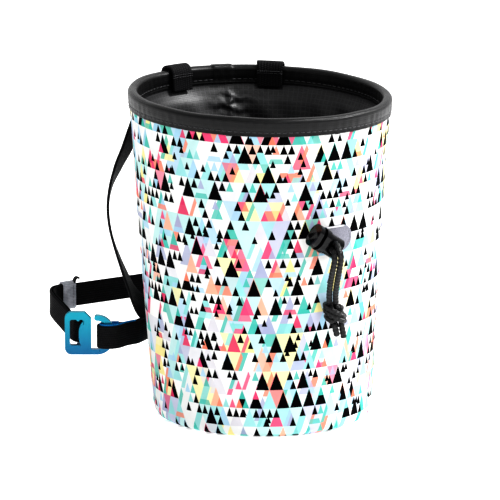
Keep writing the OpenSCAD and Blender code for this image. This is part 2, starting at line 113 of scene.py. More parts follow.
def side_r(z):
    """Outer radius of the shell's straight side at height z."""
    return BASE_R + TAPER * z


# ---------- shape helpers
def smooth(points, steps=6):
    """Catmull-Rom curve through given points with any number of values each."""
    p = np.array(points, float)
    p = np.vstack([p[:1], p, p[-1:]])
    out = []
    for i in range(len(p) - 3):
        a, b, c, d = p[i : i + 4]
        for u in np.arange(steps) / steps:
            cubic = (3 * b - a - 3 * c + d) * u**3
            out.append(0.5 * (2 * b + (c - a) * u + (2 * a - 5 * b + 4 * c - d) * u**2 + cubic))
    return np.array(out + [p[-1]])


def unit(v):
    return v / np.maximum(np.linalg.norm(v, axis=-1, keepdims=True), 1e-9)


def lengths(p):
    """Distance along a line at each of its points."""
    return np.concatenate([[0], np.cumsum(np.linalg.norm(np.diff(p, axis=0), axis=1))])


def resampled(points, spacing):
    """The same line with points an even distance apart."""
    p = np.array(points, float)
    s = lengths(p[:, :3])
    t = np.linspace(0, s[-1], max(2, int(round(s[-1] / spacing)) + 1))
    return np.stack([np.interp(t, s, p[:, k]) for k in range(p.shape[1])], 1)


def ease(x, low, high):
    """0 below low, 1 above high, and smooth between them."""
    t = np.clip((np.asarray(x, float) - low) / (high - low), 0, 1)
    return t * t * (3 - 2 * t)


def ripple(angle, seed, waves):
    """Gentle irregular wave round the bag, about -1 to 1, from a few whole-number waves."""
    rng = np.random.default_rng(seed)
    total = sum(np.sin(w * angle + rng.uniform(0, 2 * np.pi)) * rng.uniform(0.5, 1) for w in waves)
    return total / (0.6 * len(waves))


def settled(p):
    """Soft bag at rest: its rim drops a little to the right and its base stands over."""
    q = p.copy()
    up = np.clip(p[..., 2] / BAG_TOP, 0, 1.1)
    q[..., 2] = p[..., 2] - RIM_TILT * p[..., 0] * up**3
    q[..., 0] = p[..., 0] + BASE_SHIFT * np.clip(1 - up, 0, 1) ** 2
    return q


class Shape:
    """Quads gathered from one or more grids of points and made into one piece."""

    def __init__(self):
        self.points, self.quads, self.uvs, self.count = [], [], [], 0

    def add(self, p, uv, wrap=False, flip=False):
        """p is rows by columns of points; wrap joins the last column to the first, and uv has one more."""
        rows, columns = p.shape[:2]
        i = np.arange(rows - 1)[:, None]
        j = np.arange(columns if wrap else columns - 1)[None, :]
        k = (j + 1) % columns
        corners = [i * columns + j, i * columns + k, (i + 1) * columns + k, (i + 1) * columns + j]
        maps = [uv[i, j], uv[i, j + 1], uv[i + 1, j + 1], uv[i + 1, j]]
        if flip:
            corners, maps = corners[::-1], maps[::-1]
        self.quads.append(np.stack(corners, -1).reshape(-1, 4) + self.count)
        self.uvs.append(np.stack(maps, 2).reshape(-1, 2))
        self.points.append(p.reshape(-1, 3))
        self.count += rows * columns
        return self

    def make(self, name, material, body, slot=None, replaces=(), soft=True):
        points = np.concatenate(self.points)
        if soft:
            points = settled(points)
        mesh = bpy.data.meshes.new(name)
        mesh.from_pydata((points * MM).tolist(), [], np.concatenate(self.quads).tolist())
        layer = mesh.uv_layers.new(name="cloth_mm")
        layer.data.foreach_set("uv", np.concatenate(self.uvs).astype(np.float32).ravel())
        mesh.polygons.foreach_set("use_smooth", [True] * len(mesh.polygons))
        mesh.materials.append(material)
        piece = bpy.data.objects.new(name, mesh)
        bpy.context.scene.collection.objects.link(piece)
        if body:
            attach(piece, body)
        if replaces:
            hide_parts(*replaces)
        return piece


def turned(shape, profile, columns=256, change=None, flip=False):
    """Adds a surface turned round +Z from (r, z) points; change moves the points by angle and distance."""
    line = np.array(profile, float)
    s = lengths(line)
    angle = np.linspace(-np.pi, np.pi, columns + 1)
    r, t = np.meshgrid(line[:, 0], angle, indexing="ij")
    z = np.meshgrid(line[:, 1], angle, indexing="ij")[0]
    if change:
        r, z = change(r, z, t)
    p = np.stack([r * np.sin(t), -r * np.cos(t), z], -1)
    uv = np.stack(np.meshgrid(s, angle * line[:, 0].mean(), indexing="ij")[::-1], -1)
    return shape.add(p[:, :-1], uv, wrap=True, flip=flip)


def arc(cx, cy, r, start, end, n):
    a = np.radians(np.linspace(start, end, n + 1))
    return [(cx + r * math.cos(x), cy + r * math.sin(x)) for x in a]


def circle(r, z, n, start=0.0):
    """Closed ring round +Z with n points, and the way outwards at each of them."""
    a = np.linspace(0, 2 * np.pi, n) + start
    out = np.stack([np.cos(a), np.sin(a), np.zeros_like(a)], 1)
    return r * out + (0.0, 0.0, z), out


def rounded_ring(half_x, half_y, corner, steps):
    """Outline of a rounded rectangle, from its right side round."""
    ring = []
    for sx, sy, start in ((1, 1, 0), (-1, 1, 90), (-1, -1, 180), (1, -1, 270)):
        ring += arc(sx * (half_x - corner), sy * (half_y - corner), corner, start, start + 90, steps)
    return ring


def frames_along(p):
    """Tangent and two normals at each point of a line, turning as little as possible."""
    t = unit(np.gradient(p, axis=0))
    n = [unit(np.cross(t[0], [0.3, 0.2, 1.0]))]
    for k in range(1, len(p)):
        n.append(unit(n[-1] - np.dot(n[-1], t[k]) * t[k]))
    n = np.array(n)
    return t, n, np.cross(t, n)


def round_tube(shape, path, radius, sides=24, braid=0.0, carriers=6, pitch=3.4, cap=0.6):
    """Tube along a line, with rounded ends and, for a braid, raised crossing strands."""
    t, n, m = frames_along(path)
    s = lengths(path)
    edge = np.minimum(s, s[-1] - s) / (cap * radius)
    ring = radius * np.sqrt(np.clip(1 - (1 - np.clip(edge, 0.02, 1)) ** 2, 0.02, 1))
    a = np.linspace(0, 2 * np.pi, sides + 1)
    lift = np.cos(carriers * a[None, :] + 2 * np.pi * s[:, None] / pitch)
    lift = lift * np.cos(carriers * a[None, :] - 2 * np.pi * s[:, None] / pitch)
    r = ring[:, None] * (1 + braid * (lift - 0.5))
    p = path[:, None] + r[..., None] * (
        np.cos(a)[None, :, None] * n[:, None] + np.sin(a)[None, :, None] * m[:, None]
    )
    uv = np.stack(np.broadcast_arrays(a[None, :] * radius, s[:, None]), -1)
    return shape.add(p[:, :-1], uv, wrap=True)


def strap_section(width, thick):
    """Outline of webbing cut across: (across, through, across for the weave)."""
    r = thick / 2
    flat = np.linspace(-width / 2 + r, width / 2 - r, 9)
    side = np.radians(np.linspace(60, -60, 5))
    top = [(w, r) for w in flat]
    right = [(width / 2 - r + r * math.cos(x), r * math.sin(x)) for x in side]
    low = [(w, -r) for w in flat[::-1]]
    left = [(-width / 2 + r - r * math.cos(x), -r * math.sin(x)) for x in side]
    return np.array(top + right + low + left)


def closed_off(p, uv):
    """The same grid with each end drawn together, so that the webbing isn't open."""
    first, last = (np.broadcast_to(p[k].mean(0), p[:1].shape) for k in (0, -1))
    return np.concatenate([first, p, last]), np.concatenate([uv[:1], uv, uv[-1:]])


def strap(shape, route, width, thick, steps=6):
    """Webbing along a route of [x, y, z, wx, wy, wz], where w is the way its width lies."""
    line = smooth(route, steps) if steps else np.array(route, float)
    p = line[:, :3]
    t = unit(np.gradient(p, axis=0))
    w = unit(line[:, 3:] - np.sum(line[:, 3:] * t, 1)[:, None] * t)
    m = np.cross(t, w)
    section = strap_section(width, thick)
    points = p[:, None] + section[None, :, :1] * w[:, None] + section[None, :, 1:] * m[:, None]
    closed = np.vstack([section, section[:1]])
    uv = np.stack(np.broadcast_arrays(closed[None, :, 0], lengths(p)[:, None]), -1)
    return shape.add(*closed_off(points, uv), wrap=True, flip=True)


def stitches(shape, centres, along, out, length=2.4, radius=0.24):
    """Short threads lying on a cloth: each rises from the cloth and dives back into it."""
    along, out = unit(np.array(along, float)), unit(np.array(out, float))
    side = np.cross(out, along)
    x = np.linspace(-1, 1, 7)
    a = np.linspace(0, 2 * np.pi, 7)
    for c, t, n, b in zip(np.array(centres, float), along, out, side):
        rise = (1 - x**2) * radius * 0.9 - radius * 0.35
        thick = radius * np.sqrt(np.clip(1 - x**4, 0.05, 1))
        line = c + x[:, None] * length / 2 * t + rise[:, None] * n
        p = line[:, None] + thick[:, None, None] * (
            np.cos(a)[None, :, None] * n + np.sin(a)[None, :, None] * b
        )
        uv = np.stack(np.broadcast_arrays(a[None, :], x[:, None]), -1)
        shape.add(p[:, :-1], uv, wrap=True)
    return shape


def row_of_stitches(shape, line, normals, pitch=3.2, **size):
    """Stitches in a row along a line on a surface with those normals."""
    both = resampled(np.hstack([line, normals]), pitch)
    middle, out = (both[1:, :3] + both[:-1, :3]) / 2, unit(both[1:, 3:] + both[:-1, 3:])
    return stitches(shape, middle, both[1:, :3] - both[:-1, :3], out, **size)


def on_wall(x, y, lift, turn=EYELET_TURN, z=EYELET[2]):
    """Points beside a place on the wall: x round to the right, y up, lift out from the wall."""
    x, y, lift = np.broadcast_arrays(*(np.asarray(v, float) for v in (x, y, lift)))
    height = z + y * math.cos(WALL_LEAN)
    r = side_r(height)
    angle = turn + x / r
    out = np.stack([np.sin(angle), -np.cos(angle), np.full_like(angle, -TAPER)], -1)
    return np.stack([r * np.sin(angle), -r * np.cos(angle), height], -1) + lift[..., None] * unit(out)


# ---------- materials
class Finish:
    """Wires a procedural material out of numbers and sockets."""

    def __init__(self, name, roughness=0.6, metallic=0.0, sheen=0.0, specular=0.5, coat=0.0):
        self.material = bpy.data.materials.new(name)
        self.material.use_nodes = True
        self.tree = self.material.node_tree
        self.shader = self.tree.nodes["Principled BSDF"]
        values = {"Roughness": roughness, "Metallic": metallic, "Sheen Weight": sheen,
                  "Sheen Roughness": 0.35, "Specular IOR Level": specular, "Coat Weight": coat}
        for socket, value in values.items():
            self.shader.inputs[socket].default_value = value

    def feed(self, socket, value):
        if isinstance(value, bpy.types.NodeSocket):
            self.tree.links.new(value, socket)
        else:
            socket.default_value = value

    def node(self, kind, inputs=None, **settings):
        made = self.tree.nodes.new(kind)
        for key, value in settings.items():
            setattr(made, key, value)
        for key, value in (inputs or {}).items():
            self.feed(made.inputs[key], value)
        return made

    def math(self, operation, a, b=0.0):
        return self.node("ShaderNodeMath", {0: a, 1: b}, operation=operation).outputs[0]

    def plus(self, a, b):
        return self.math("ADD", a, b)

    def minus(self, a, b):
        return self.math("SUBTRACT", a, b)

    def times(self, a, b):
        return self.math("MULTIPLY", a, b)

    def shares(self, a, share_a, b, share_b):
        """Two values added in those shares."""
        return self.plus(self.times(a, share_a), self.times(b, share_b))

    def uv(self):
        parts = self.node("ShaderNodeSeparateXYZ", {0: self.node("ShaderNodeUVMap").outputs[0]})
        return parts.outputs[0], parts.outputs[1]

    def mix(self, factor, a, b, blend="MIX"):
        made = self.node("ShaderNodeMix", {0: factor, 6: a, 7: b}, data_type="RGBA", blend_type=blend)
        return made.outputs[2]

    def noise(self, scale, detail=3.0, vector=None):
        at = vector or self.node("ShaderNodeTexCoord").outputs["Object"]
        inputs = {"Vector": at, "Scale": scale, "Detail": detail}
        return self.node("ShaderNodeTexNoise", inputs).outputs[0]

    def ramp(self, factor, stops, constant=False):
        made = self.node("ShaderNodeValToRGB", {0: factor})
        ramp = made.color_ramp
        ramp.interpolation = "CONSTANT" if constant else "LINEAR"
        while len(ramp.elements) < len(stops):
            ramp.elements.new(1.0)
        for element, (place, colour) in zip(ramp.elements, stops):
            element.position = place
            element.color = (*colour, 1.0)
        return made.outputs[0]

    def tones(self, factor, tone, *steps):
        """Ramp through one tone, each step a place and how strong the tone is there."""
        return self.ramp(factor, [(place, tuple(c * strength for c in tone)) for place, strength in steps])

    def wave(self, value, period, shift=0.0):
        """0 to 1, once each period."""
        turn = self.plus(self.times(value, 2 * math.pi / period), shift)
        return self.plus(self.times(self.math("SINE", turn), 0.5), 0.5)

    def colour(self, value):
        self.feed(self.shader.inputs["Base Color"], value if not isinstance(value, tuple) else (*value, 1.0))
        return self

    def rough(self, value):
        self.feed(self.shader.inputs["Roughness"], value)
        return self

    def bump(self, height, depth_mm, strength=1.0):
        inputs = {"Height": height, "Distance": depth_mm * MM, "Strength": strength}
        self.feed(self.shader.inputs["Normal"], self.node("ShaderNodeBump", inputs).outputs[0])
        return self.material


def rgb(text):
    """Colour from a hex code, made linear for the shader."""
    parts = [int(text[i : i + 2], 16) / 255 for i in (0, 2, 4)]
    return tuple(c / 12.92 if c <= 0.04045 else ((c + 0.055) / 1.055) ** 2.4 for c in parts)


def plain_weave(m, u, v, pitch=0.7):
    """Height of threads that pass over and under each other."""
    over = m.times(m.wave(u, pitch), m.wave(v, pitch * 2))
    under = m.times(m.wave(v, pitch), m.wave(u, pitch * 2))
    return m.math("MAXIMUM", over, under)


TRIANGLE_RISE = 1.36  # height of a printed triangle for each unit of its width
STRIP_SHARE = 0.27  # a printed strip's width, as a share of its triangle


def by_place(m, x, y, z):
    """White noise that is the same all over one cell of a lattice."""
    place = m.node("ShaderNodeCombineXYZ", {0: x, 1: y, 2: z}).outputs[0]
    return m.node("ShaderNodeTexWhiteNoise", {"Vector": place}, noise_dimensions="3D").outputs


def printed_triangles(m, u, v, width, seed, share, down=False, part=None, row_share=0.0, scale=1.0):
    """Mask and random tone of triangles scattered on a lattice; part keeps one strip of each."""
    y = m.math("DIVIDE", v, width * TRIANGLE_RISE)
    row = m.math("FLOOR", y)
    rise = m.minus(y, row)
    x = m.plus(m.math("DIVIDE", u, width), m.times(row, 0.5))
    if down:
        x = m.plus(x, 0.5)
        rise = m.minus(1.0, rise)
    column = m.math("FLOOR", x)
    across = m.minus(x, column)
    off_centre = m.math("ABSOLUTE", m.minus(m.times(across, 2.0), 1.0))
    mask = m.math("LESS_THAN", m.plus(off_centre, rise), scale)
    strips = {
        "left": m.minus(across, m.times(rise, 0.5)),
        "right": m.minus(1.0, m.plus(across, m.times(rise, 0.5))),
        "low": rise,
    }
    if part:
        mask = m.times(mask, m.math("LESS_THAN", strips[part], STRIP_SHARE))
    random = by_place(m, column, row, float(seed))
    by_row = by_place(m, float(seed), row, 0.5)["Value"]
    limit = m.plus(m.times(by_row, row_share), share)
    mask = m.times(mask, m.math("LESS_THAN", random["Value"], limit))
    # Value is the same number as red, so the tone comes from green
    return mask, m.node("ShaderNodeSeparateColor", {0: random["Color"]}).outputs[1]


def palette(m, factor, colours):
    stops = [(i / len(colours), rgb(c)) for i, c in enumerate(colours)]
    return m.ramp(factor, stops, constant=True)


def printed_canvas():
    """White cloth printed with overlapping see-through triangles in several sizes."""
    m = Finish("printed_canvas", roughness=0.8, specular=0.06)
    u, v = m.uv()
    pale = ["f1e8b0", "f4f3f0", "dfdfe3", "bfe2e0", "f4f3f0", "b7d4e5", "f4f3f0", "c4c6dc"]
    strong = ["4dbcae", "e8517f", "8fd3d0", "ee8a70", "4dbcae", "a9cfe4", "8fd3d0", "a9aecb", "f0e39c"]
    middle = ["9fdad9", "e8517f", "f0e39c", "a9cfe4", "4dbcae", "d9d6dc", "f3b49a", "a9aecb", "a9cfe4"]
    middle += ["9fdad9", "dc416c"]
    bright = ["e8517f", "4dbcae", "dc416c", "ee8a70", "8fd3d0", "a9cfe4", "4dbcae", "a9aecb"]
    black = ["030304"]
    layers = [
        (14.2, 3, 0.60, {"down": True}, pale, 0.9),
        (14.2, 4, 0.50, {}, pale, 0.9),
        (14.2, 5, 0.30, {"part": "left"}, strong, 0.9),
        (14.2, 6, 0.16, {"part": "right"}, strong, 0.8),
        (14.2, 7, 0.24, {"part": "low"}, strong, 0.9),
        (9.47, 16, 0.22, {}, middle, 0.8),
        (9.47, 17, 0.12, {"part": "left"}, strong, 0.85),
        (7.1, 8, 0.14, {"down": True}, middle, 0.7),
        (7.1, 9, 0.46, {}, middle, 0.95),
        (7.1, 10, 0.26, {"part": "left"}, bright, 0.85),
        (7.1, 11, 0.20, {"part": "low"}, bright, 0.8),
        (7.1, 12, 0.08, {"row_share": 0.5, "scale": 0.94}, black, 1.0),
        (3.55, 13, 0.08, {"row_share": 0.1}, bright, 0.9),
        (3.55, 14, 0.03, {"row_share": 0.34}, black, 1.0),
        (2.84, 15, 0.0, {"row_share": 0.12}, black, 1.0),
    ]
    colour = (0.82, 0.82, 0.81, 1.0)
    for width, seed, share, settings, colours, alpha in layers:
        mask, tone = printed_triangles(m, u, v, width, seed, share, **settings)
        ink = (*rgb(colours[0]), 1.0) if len(colours) == 1 else palette(m, tone, colours)
        colour = m.mix(m.times(mask, alpha), colour, ink)
    wash = m.ramp(m.noise(140.0, 5.0), [(0.3, (0.86, 0.87, 0.88)), (0.7, (1.0, 1.0, 1.0))])
    m.colour(m.mix(0.55, colour, wash, "MULTIPLY"))
    return m.bump(m.plus(m.times(plain_weave(m, u, v, 0.55), 0.35), m.noise(900.0, 2.0)), 0.12, 0.35)


def woven_black(name, tone, roughness, sheen, pitch, depth):
    """Fine plain-woven cloth with a satin sheen."""
    m = Finish(name, roughness=roughness, sheen=sheen, specular=0.35)
    u, v = m.uv()
    weave = plain_weave(m, u, v, pitch)
    m.colour(m.tones(m.shares(weave, 0.4, m.noise(60.0), 0.5), tone, (0.2, 0.7), (0.8, 1.35)))
    m.rough(m.plus(m.times(m.noise(110.0), 0.16), roughness - 0.08))
    return m.bump(m.plus(weave, m.times(m.noise(500.0), 0.5)), depth, 0.5)


def ripstop():
    """Thin black nylon with a raised grid every few threads."""
    m = Finish("ripstop", roughness=0.44, sheen=0.08, specular=0.6)
    u, v = m.uv()
    across, along = (m.math("GREATER_THAN", m.wave(way, 2.4), 0.9) for way in (u, v))
    lines = m.math("MAXIMUM", across, along)
    weave = plain_weave(m, u, v, 0.4)
    shade = m.shares(lines, 0.45, m.noise(80.0), 0.5)
    m.colour(m.ramp(shade, [(0.15, (0.008, 0.008, 0.0085)), (0.9, (0.034, 0.034, 0.037))]))
    return m.bump(m.plus(m.times(weave, 0.4), lines), 0.12, 0.6)


def webbing_cloth(name, tone, rib=1.15, depth=0.22, roughness=0.62):
    """Narrow webbing: ribs along it, crossed by the weft."""
    m = Finish(name, roughness=roughness, sheen=0.02, specular=0.12)
    u, v = m.uv()
    ribs = m.wave(u, rib)
    every_other = m.times(m.math("FLOOR", m.math("DIVIDE", u, rib)), math.pi)
    height = m.shares(ribs, 0.6, m.wave(v, 1.0, every_other), 0.4)
    m.colour(m.tones(m.shares(height, 0.6, m.noise(90.0), 0.4), tone, (0.25, 0.55), (0.85, 1.5)))
    return m.bump(m.plus(height, m.times(m.noise(700.0), 0.4)), depth, 0.7)


def braid_cloth():
    """Black braid: the strands' shape is in the mesh, the yarns are in the bump."""
    m = Finish("braided_cord", roughness=0.32, specular=0.5)
    u, v = m.uv()
    yarn = m.wave(m.plus(m.times(u, 1.2), v), 0.45)
    fleck = m.math("GREATER_THAN", m.noise(1500.0, 1.0), 0.66)
    m.colour(m.mix(m.times(fleck, 0.5), (0.005, 0.005, 0.006, 1), (0.05, 0.05, 0.053, 1)))
    return m.bump(m.plus(yarn, m.times(m.noise(900.0), 0.5)), 0.12, 0.6)


def coated_patch():
    """Grey fine-grained coated cloth."""
    m = Finish("patch_grey", roughness=0.5, sheen=0.15, specular=0.5)
    grain = m.noise(2600.0, 2.0)
    m.colour(m.ramp(grain, [(0.25, rgb("666671")), (0.7, rgb("9797a3"))]))
    return m.bump(grain, 0.1, 0.7)


def knitted(name, dark, light):
    """Soft elastic knit with fine ribs."""
    m = Finish(name, roughness=0.82, sheen=0.4, specular=0.2)
    u, v = m.uv()
    loops = m.times(m.wave(u, 0.55), m.wave(v, 0.8))
    m.colour(m.ramp(m.shares(loops, 0.4, m.noise(350.0), 0.7), [(0.25, rgb(dark)), (0.75, rgb(light))]))
    return m.bump(m.plus(loops, m.noise(900.0)), 0.14, 0.7)


def moulded_black():
    """Glossy moulded plastic with faint handling marks."""
    m = Finish("lock_plastic", roughness=0.12, specular=0.28)
    marks = m.noise(220.0, 5.0)
    m.colour(m.ramp(marks, [(0.3, (0.003, 0.003, 0.0035)), (0.8, (0.007, 0.007, 0.008))]))
    m.rough(m.plus(m.times(marks, 0.12), 0.07))
    return m.bump(m.noise(600.0, 2.0), 0.02, 0.3)


def anodised_blue():
    """Blue anodised aluminium, tumbled before it was dyed, with painted light that makes it lighter towards
    its top.
    """
    m = Finish("buckle_blue", roughness=0.3, metallic=0.55, specular=0.5, coat=0.1)
    grain = m.noise(420.0, 4.0)
    place = m.node("ShaderNodeTexCoord").outputs["Object"]
    height = m.node("ShaderNodeSeparateXYZ", {0: place}).outputs[2]
    foot, tall = 26 * MM, 24 * MM  # painted light: lighter and greener towards the buckle's top, darker at its foot
    # Painted light: the colour runs from darker blue at the buckle's foot to lighter teal at its top.
    painted_light_rise = m.math("DIVIDE", m.minus(height, foot), tall)
    painted_light_and_grain = m.plus(painted_light_rise, m.times(grain, 0.12))
    m.colour(m.ramp(painted_light_and_grain, [(0.1, rgb("045f90")), (1.0, rgb("0a97ac"))]))
    m.rough(m.plus(m.times(m.noise(130.0, 5.0), 0.16), 0.22))
    return m.bump(grain, 0.03, 0.35)


def bare_metal(name, tone, roughness, metallic=1.0):
    m = Finish(name, roughness=roughness, metallic=metallic)
    grain = m.noise(500.0, 4.0)
    m.colour(m.tones(grain, tone, (0.2, 0.8), (0.8, 1.0)))
    m.rough(m.plus(m.times(grain, 0.2), roughness - 0.1))
    return m.bump(grain, 0.02, 0.3)


def fleece():
    m = Finish("fleece", roughness=0.95, sheen=0.15, specular=0.1)
    pile = m.noise(700.0, 4.0)
    m.colour(m.ramp(pile, [(0.3, (0.008, 0.008, 0.009)), (0.75, (0.035, 0.035, 0.038))]))
    return m.bump(pile, 0.6, 0.9)


def thread_cloth(name, tone):
    m = Finish(name, roughness=0.5, sheen=0.3)
    u, v = m.uv()
    twist = m.wave(m.plus(u, m.times(v, 6.0)), 2.1)
    m.colour(m.tones(twist, tone, (0.2, 0.7), (0.8, 1.0)))
    return m.bump(twist, 0.05, 0.5)


PRINT = printed_canvas()
BAND = woven_black("band_nylon", (0.005, 0.005, 0.0055), 0.36, 0.05, 0.5, 0.1)
PANEL = woven_black("panel_nylon", (0.012, 0.012, 0.013), 0.6, 0.1, 1.1, 0.2)
RIPSTOP = ripstop()
WEBBING = webbing_cloth("webbing", (0.008, 0.008, 0.009))
LOOP_WEBBING = webbing_cloth("loop_webbing", (0.01, 0.01, 0.011), rib=1.6, depth=0.35)
BRAID = braid_cloth()
PATCH = coated_patch()
# Pale grey of the bead on the patch's top edge: a painted highlight.
PATCH_HIGHLIGHT = thread_cloth("patch_highlight_bead", (0.75, 0.75, 0.78))
KNIT = knitted("keeper_grey", "8b8d97", "d2d4dc")
KNIT_BLACK = knitted("tie_black", "0e0e10", "26262a")
LINING = webbing_cloth("lining_blue", rgb("1f86cc"), rib=0.8, depth=0.12)
PLASTIC = moulded_black()
ALUMINIUM = anodised_blue()
STEEL = bare_metal("pin_steel", (0.55, 0.55, 0.57), 0.35)
BLACK_METAL = bare_metal("black_metal", (0.02, 0.02, 0.022), 0.3, metallic=0.6)
ROD = bare_metal("hoop_plastic", (0.75, 0.75, 0.72), 0.5, metallic=0.0)
FLEECE = fleece()
THREAD = thread_cloth("black_thread", (0.06, 0.06, 0.065))
GREY_THREAD = thread_cloth("grey_thread", (0.3, 0.3, 0.33))


# ---------- camera
def make_camera():
    """Long lens, a little above the rim, with the bag right of the picture's middle."""
    elevation = math.radians(13.86)
    distance = 2.6
    picture_width = 0.25
    target = Vector((-0.005, 0.0, 0.0823))
    back = Vector((0.0, -math.cos(elevation), math.sin(elevation)))
    data = bpy.data.cameras.new("camera")
    data.sensor_width = 36.0
    data.lens = data.sensor_width * distance / picture_width
    data.clip_end = 50.0
    camera = bpy.data.objects.new("camera", data)
    camera.location = target + back * distance
    camera.rotation_mode = "QUATERNION"
    camera.rotation_quaternion = (-back).to_track_quat("-Z", "Y")
    bpy.context.scene.collection.objects.link(camera)
    bpy.context.scene.camera = camera


make_camera()

# ---------- cords
STRAND_LEFT = [
    (27.2, -50.3, 99.3), (30.1, -55.5, 99.0), (32.6, -59.9, 98.6), (35.2, -64.6, 98.2),
    (36.2, -66.8, 96.6), (36.2, -67.6, 93.2), (35.2, -66.0, 87.3), (34.3, -62.3, 81.0),
    (33.8, -58.5, 74.0), (34.0, -55.8, 68.8),
]
STRAND_RIGHT = [
    (28.8, -49.6, 102.0), (31.8, -54.8, 101.6), (34.2, -59.1, 101.3), (36.8, -63.8, 100.9),
    (38.2, -66.4, 99.2), (39.3, -67.6, 95.2), (38.5, -66.2, 88.3), (37.5, -62.3, 81.0),
    (36.9, -58.3, 74.0), (37.1, -55.7, 68.8),
]
TAIL_LEFT = [(36.2, -54.4, 58.9), (36.9, -54.2, 56.0), (37.9, -53.8, 51.8)]
TAIL_RIGHT = [(39.4, -53.6, 59.3), (40.2, -53.2, 56.2), (41.2, -52.6, 50.6)]
BRAID_SHAPE = {"sides": 36, "braid": 0.14, "carriers": 8, "pitch": 4.0}


def braided(node, path):
    shape = round_tube(Shape(), path, CORD_R, **BRAID_SHAPE)
    return shape.make(node + "_braid", BRAID, "bag", "braided_cord", [node], soft=False)


def make_knot():
    """Overhand knot in the doubled cord: two strands through the middle and a doubled wrap."""
    middle = middle_mm("cord_knot")
    shape = Shape()
    t = np.linspace(0, 1, 120)
    turn = 2 * np.pi * (1.7 * t - 0.02)
    reach = 1.4 + 2.3 * np.sin(np.pi * t) ** 0.3
    for side in (-1.4, 1.4):
        x = reach * np.cos(turn) * 1.25
        y = reach * np.sin(turn) * 0.95
        z = 2.9 - 5.8 * t + side * 0.85 - 0.42 * x
        path = resampled(np.stack([x, y, z], 1) + middle, 0.3)
        round_tube(shape, path, CORD_R, **BRAID_SHAPE)
    for top, bottom in ((STRAND_LEFT[-1], TAIL_LEFT[0]), (STRAND_RIGHT[-1], TAIL_RIGHT[0])):
        path = resampled(smooth([top, (np.array(top) + bottom) / 2 + (0.6, 0, 0), bottom]), 0.3)
        round_tube(shape, path, CORD_R, **BRAID_SHAPE)
    return shape.make("cord_knot_tied", BRAID, "bag", "braided_cord", ["cord_knot"], soft=False)


def make_cords():
    paths = {n: resampled(smooth(r), 0.3) for n, r in (("left", STRAND_LEFT), ("right", STRAND_RIGHT))}
    strands = {n: braided(f"cord_strand_{n}", p) for n, p in paths.items()}
    ends = (("left", TAIL_LEFT), ("right", TAIL_RIGHT))
    tails = [braided(f"cord_tail_{n}", resampled(smooth(route), 0.3)) for n, route in ends]
    knot = make_knot()


make_cords()


# ---------- bag
def calm(z, t):
    """How freely the shell may ripple: not at the rim, and not under the eyelet's patch."""
    near = np.hypot((t - EYELET_TURN) * 61, z - EYELET[2])
    return (1 - ease(z, 138, 152)) * ease(near, 14, 34)


def shell_ripple(r, z, t):
    """Slack of the filled fabric: soft vertical swells and a softly uneven lower edge."""
    swell = 0.55 * ripple(t + 0.004 * z, 11, (2, 3, 5)) + 0.3 * ripple(t - 0.006 * z, 12, (7, 9, 12))
    swell = swell * np.sin(np.pi * np.clip(z / 150, 0, 1)) ** 0.5
    pucker = 0.16 * ripple(t, 13, (58, 71, 83)) * (1 - ease(abs(z - 151), 1, 7))
    foot = 0.7 * ripple(t, 14, (3, 5, 8)) * (1 - ease(z, 2, 16)) * ease(r, 49, 53)
    lift = 0.15 * (1 + ripple(t, 15, (4, 6, 9))) * (1 - ease(z, 0, 12)) * ease(r, 50, 54)
    return r + swell * calm(z, t) * 0.8 + pucker - 0.4 * abs(foot) + 0.5 * foot, z + lift


def make_shell():
    corner = side_r(BASE_ROUND) - BASE_ROUND
    profile = [(PANEL_R - 0.4, 0.5)] + arc(corner, BASE_ROUND, BASE_ROUND - 0.2, -90, 0, 12)
    profile += [(side_r(z), z) for z in np.linspace(BASE_ROUND + 0.6, WALL_TOP, 110)]
    shape = turned(Shape(), profile, 360, shell_ripple)
    piece = shape.make("shell_cloth", PRINT, "bag", "printed_canvas", ["outer_shell"])


def make_base():
    edge = [(PANEL_R - 2, 0.45), (PANEL_R - 0.4, 0.3), (PANEL_R, 0.9)]
    shape = turned(Shape(), [(0.01, 1.3), (20, 1.2), (40, 0.9)] + edge, 128, flip=True)
    shape.make("base_cloth", PANEL, "bag", "black_nylon", ["base_panel"])
    line = circle(PANEL_R - 2.2, 0.42, 361, np.pi / 2)[0]
    row = row_of_stitches(Shape(), line, np.tile([0.0, 0.0, -1.0], (len(line), 1)), 3.4)
    row.make("base_stitches", THREAD, "bag", "black_nylon")


def liner_ripple(r, z, t):
    return r - 0.25 * (1 + ripple(t + z / 40, 21, (6, 9, 14))) * ease(r, 20, 40), z


def make_liner():
    profile = [(0.01, 3.1), (40, 3.0), (48, 3.8), (51.5, 6.5), (side_r(10) - LINER_IN, 10)]
    profile += [(side_r(z) - LINER_IN, z) for z in np.linspace(16, WALL_TOP, 40)]
    shape = turned(Shape(), profile, 160, liner_ripple, flip=True)
    piece = shape.make("liner_fleece", FLEECE, "bag", "fleece", ["liner"])


def joint_step(t):
    """1 where the band's ends lie over each other, round the back."""
    gap = (t - BAND_JOINT + np.pi) % (2 * np.pi) - np.pi
    return ease(gap, -0.09, -0.075) * (1 - ease(gap, 0.075, 0.09))


def band_ripple(r, z, t):
    middle = side_r(BAG_TOP) - 2.0
    out = np.sign(r - middle)
    sewn = 1 - ease(abs(z - (BAND_LOW + 1.8)), 0.3, 2.4)
    pucker = (0.13 * ripple(t, 31, (64, 79, 97)) - 0.22 * sewn) * (1 - ease(z, 160, 163))
    lump = 0.3 * ripple(t, 32, (3, 7, 11)) * ease(z, 158, 163.5)
    thicker = 0.45 * joint_step(t)
    return r + out * (pucker + thicker), z + 0.6 * lump - 0.3 + thicker * ease(z, 161, 163.5)


